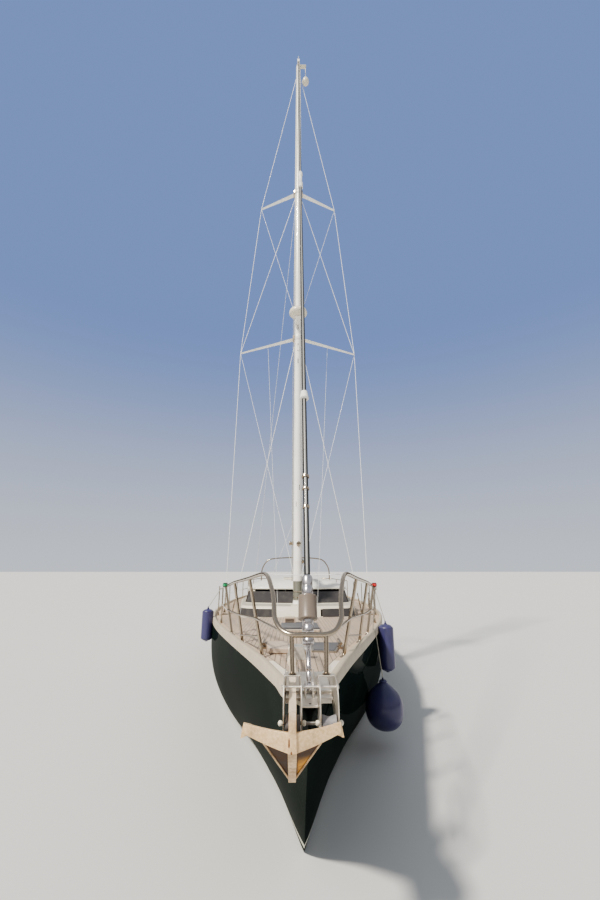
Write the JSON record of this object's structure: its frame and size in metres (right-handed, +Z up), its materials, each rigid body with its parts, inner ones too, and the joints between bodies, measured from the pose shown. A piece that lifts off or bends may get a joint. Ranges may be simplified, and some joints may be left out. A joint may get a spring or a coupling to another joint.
{
  "type": "sailing yacht",
  "caption": "Ocean cruising sloop afloat: dark keeled hull, teak deck, low deckhouse, masthead rig with swept spreaders, headsail furler, bow anchor and fenders.",
  "frame": {"origin": "amidships on the centreline, at the waterline", "axes": "+Z up, bow towards -Y, port side towards +X"},
  "size_m": [4.46, 15.905, 21.5903],
  "materials": {
    "topsides": "gloss dark green paint with a thin pale boot stripe",
    "deck": "bleached laid teak",
    "rail": "bleached rail",
    "white": "off-white gel coat",
    "antifoul": "matt antifouling",
    "bronze": "dull bronze",
    "steel": "polished stainless steel",
    "galvanised": "worn galvanising with rust",
    "spar": "white painted aluminium",
    "foil": "gloss black extrusion",
    "glass": "smoked",
    "roller": "black roller",
    "fender": "navy vinyl",
    "engine": "grey paint"
  },
  "bodies": {
    "yacht": {"hull": "topsides", "deck": "deck", "keel": "antifoul", "shaft_and_bracket": "bronze", "engine": "engine", "coachroof": "white", "deckhouse_roof": "white", "windscreen": "glass", "coachroof_windows": "glass", "cockpit_coaming": "white", "steering_pedestal": "white", "mast": "spar", "backstay": "steel", "forestay_foot": "steel", "forestay_head": "steel", "bow_roller": "steel", "anchor": "galvanised", "windlass": "steel", "pulpit": "steel", "cockpit_arch": "steel", "radome": "white", "masthead_gear": "white", "fender_ball_port": "fender", "fender_long_port": "fender", "fender_long_starboard": "fender", "toe_rail_port": "rail", "side_glass_port": "glass", "lower_spreader_port": "spar", "upper_spreader_port": "spar", "shrouds_port": "steel", "lifelines_port": "steel", "pushpit_port": "steel", "bow_cleat_port": "steel", "stern_cleat_port": "steel", "toe_rail_starboard": "rail", "side_glass_starboard": "glass", "lower_spreader_starboard": "spar", "upper_spreader_starboard": "spar", "shrouds_starboard": "steel", "lifelines_starboard": "steel", "pushpit_starboard": "steel", "bow_cleat_starboard": "steel", "stern_cleat_starboard": "steel"},
    "boom": {"boom": "spar"},
    "rudder": {"rudder": "antifoul"},
    "steering_wheel": {"steering_wheel": "steel"},
    "propeller": {"propeller": "bronze"},
    "furler": {"furler_drum": "steel", "forestay_foil": "foil"},
    "roller_port": {"bow_roller_wheel_port": "roller"},
    "roller_starboard": {"bow_roller_wheel_starboard": "roller"},
    "fore_hatch": {"fore_hatch": "glass"},
    "companionway_slide": {"companionway_slide": "white"},
    "door_port": {"companionway_door_port": "white"},
    "door_starboard": {"companionway_door_starboard": "white"},
    "winch_port": {"winch_port": "steel"},
    "winch_starboard": {"winch_starboard": "steel"}
  },
  "joints": [
    {"name": "boom_swing", "type": "hinge", "parent": "yacht", "child": "boom", "pos_m": [0, -1.22, 2.95], "axis": [0, 0, 1], "range_deg": [-65, 65]},
    {"name": "rudder_turn", "type": "hinge", "parent": "yacht", "child": "rudder", "pos_m": [0, 6.05, -0.5], "axis": [0, 0, 1], "range_deg": [-35, 35]},
    {"name": "wheel_turn", "type": "hinge", "parent": "yacht", "child": "steering_wheel", "pos_m": [0, 5.33, 1.56], "axis": [0, 1, 0], "range_deg": [-270, 270]},
    {"name": "propeller_spin", "type": "hinge", "parent": "yacht", "child": "propeller", "pos_m": [0, 4.8, -0.78], "axis": [0, 0.9864, -0.1644], "continuous": true},
    {"name": "furler_spin", "type": "hinge", "parent": "yacht", "child": "furler", "pos_m": [0, -7.76, 1.68], "axis": [0, 0.3401, 0.9404], "continuous": true},
    {"name": "roller_port_spin", "type": "hinge", "parent": "yacht", "child": "roller_port", "pos_m": [0.113, -8.02, 1.545], "axis": [1, 0, 0], "continuous": true},
    {"name": "roller_starboard_spin", "type": "hinge", "parent": "yacht", "child": "roller_starboard", "pos_m": [-0.113, -8.02, 1.545], "axis": [1, 0, 0], "continuous": true},
    {"name": "fore_hatch_open", "type": "hinge", "parent": "yacht", "child": "fore_hatch", "pos_m": [0, -4.31, 1.6], "axis": [1, 0, 0], "range_deg": [0, 110]},
    {"name": "companionway_slide_open", "type": "slide", "parent": "yacht", "child": "companionway_slide", "axis": [0, -1, 0], "range_m": [0, 0.78]},
    {"name": "door_port_open", "type": "hinge", "parent": "yacht", "child": "door_port", "pos_m": [0.318, 2.688, 1.5], "axis": [0, 0, -1], "range_deg": [0, 90]},
    {"name": "door_starboard_open", "type": "hinge", "parent": "yacht", "child": "door_starboard", "pos_m": [-0.318, 2.688, 1.5], "axis": [0, 0, 1], "range_deg": [0, 90]},
    {"name": "winch_port_spin", "type": "hinge", "parent": "yacht", "child": "winch_port", "pos_m": [0.885, 3.9, 1.7], "axis": [0, 0, 1], "continuous": true},
    {"name": "winch_starboard_spin", "type": "hinge", "parent": "yacht", "child": "winch_starboard", "pos_m": [-0.885, 3.9, 1.7], "axis": [0, 0, 1], "continuous": true}
  ],
  "couplings": [
    {"joint": "wheel_turn", "follows": "rudder_turn", "ratio": 7.7}
  ]
}
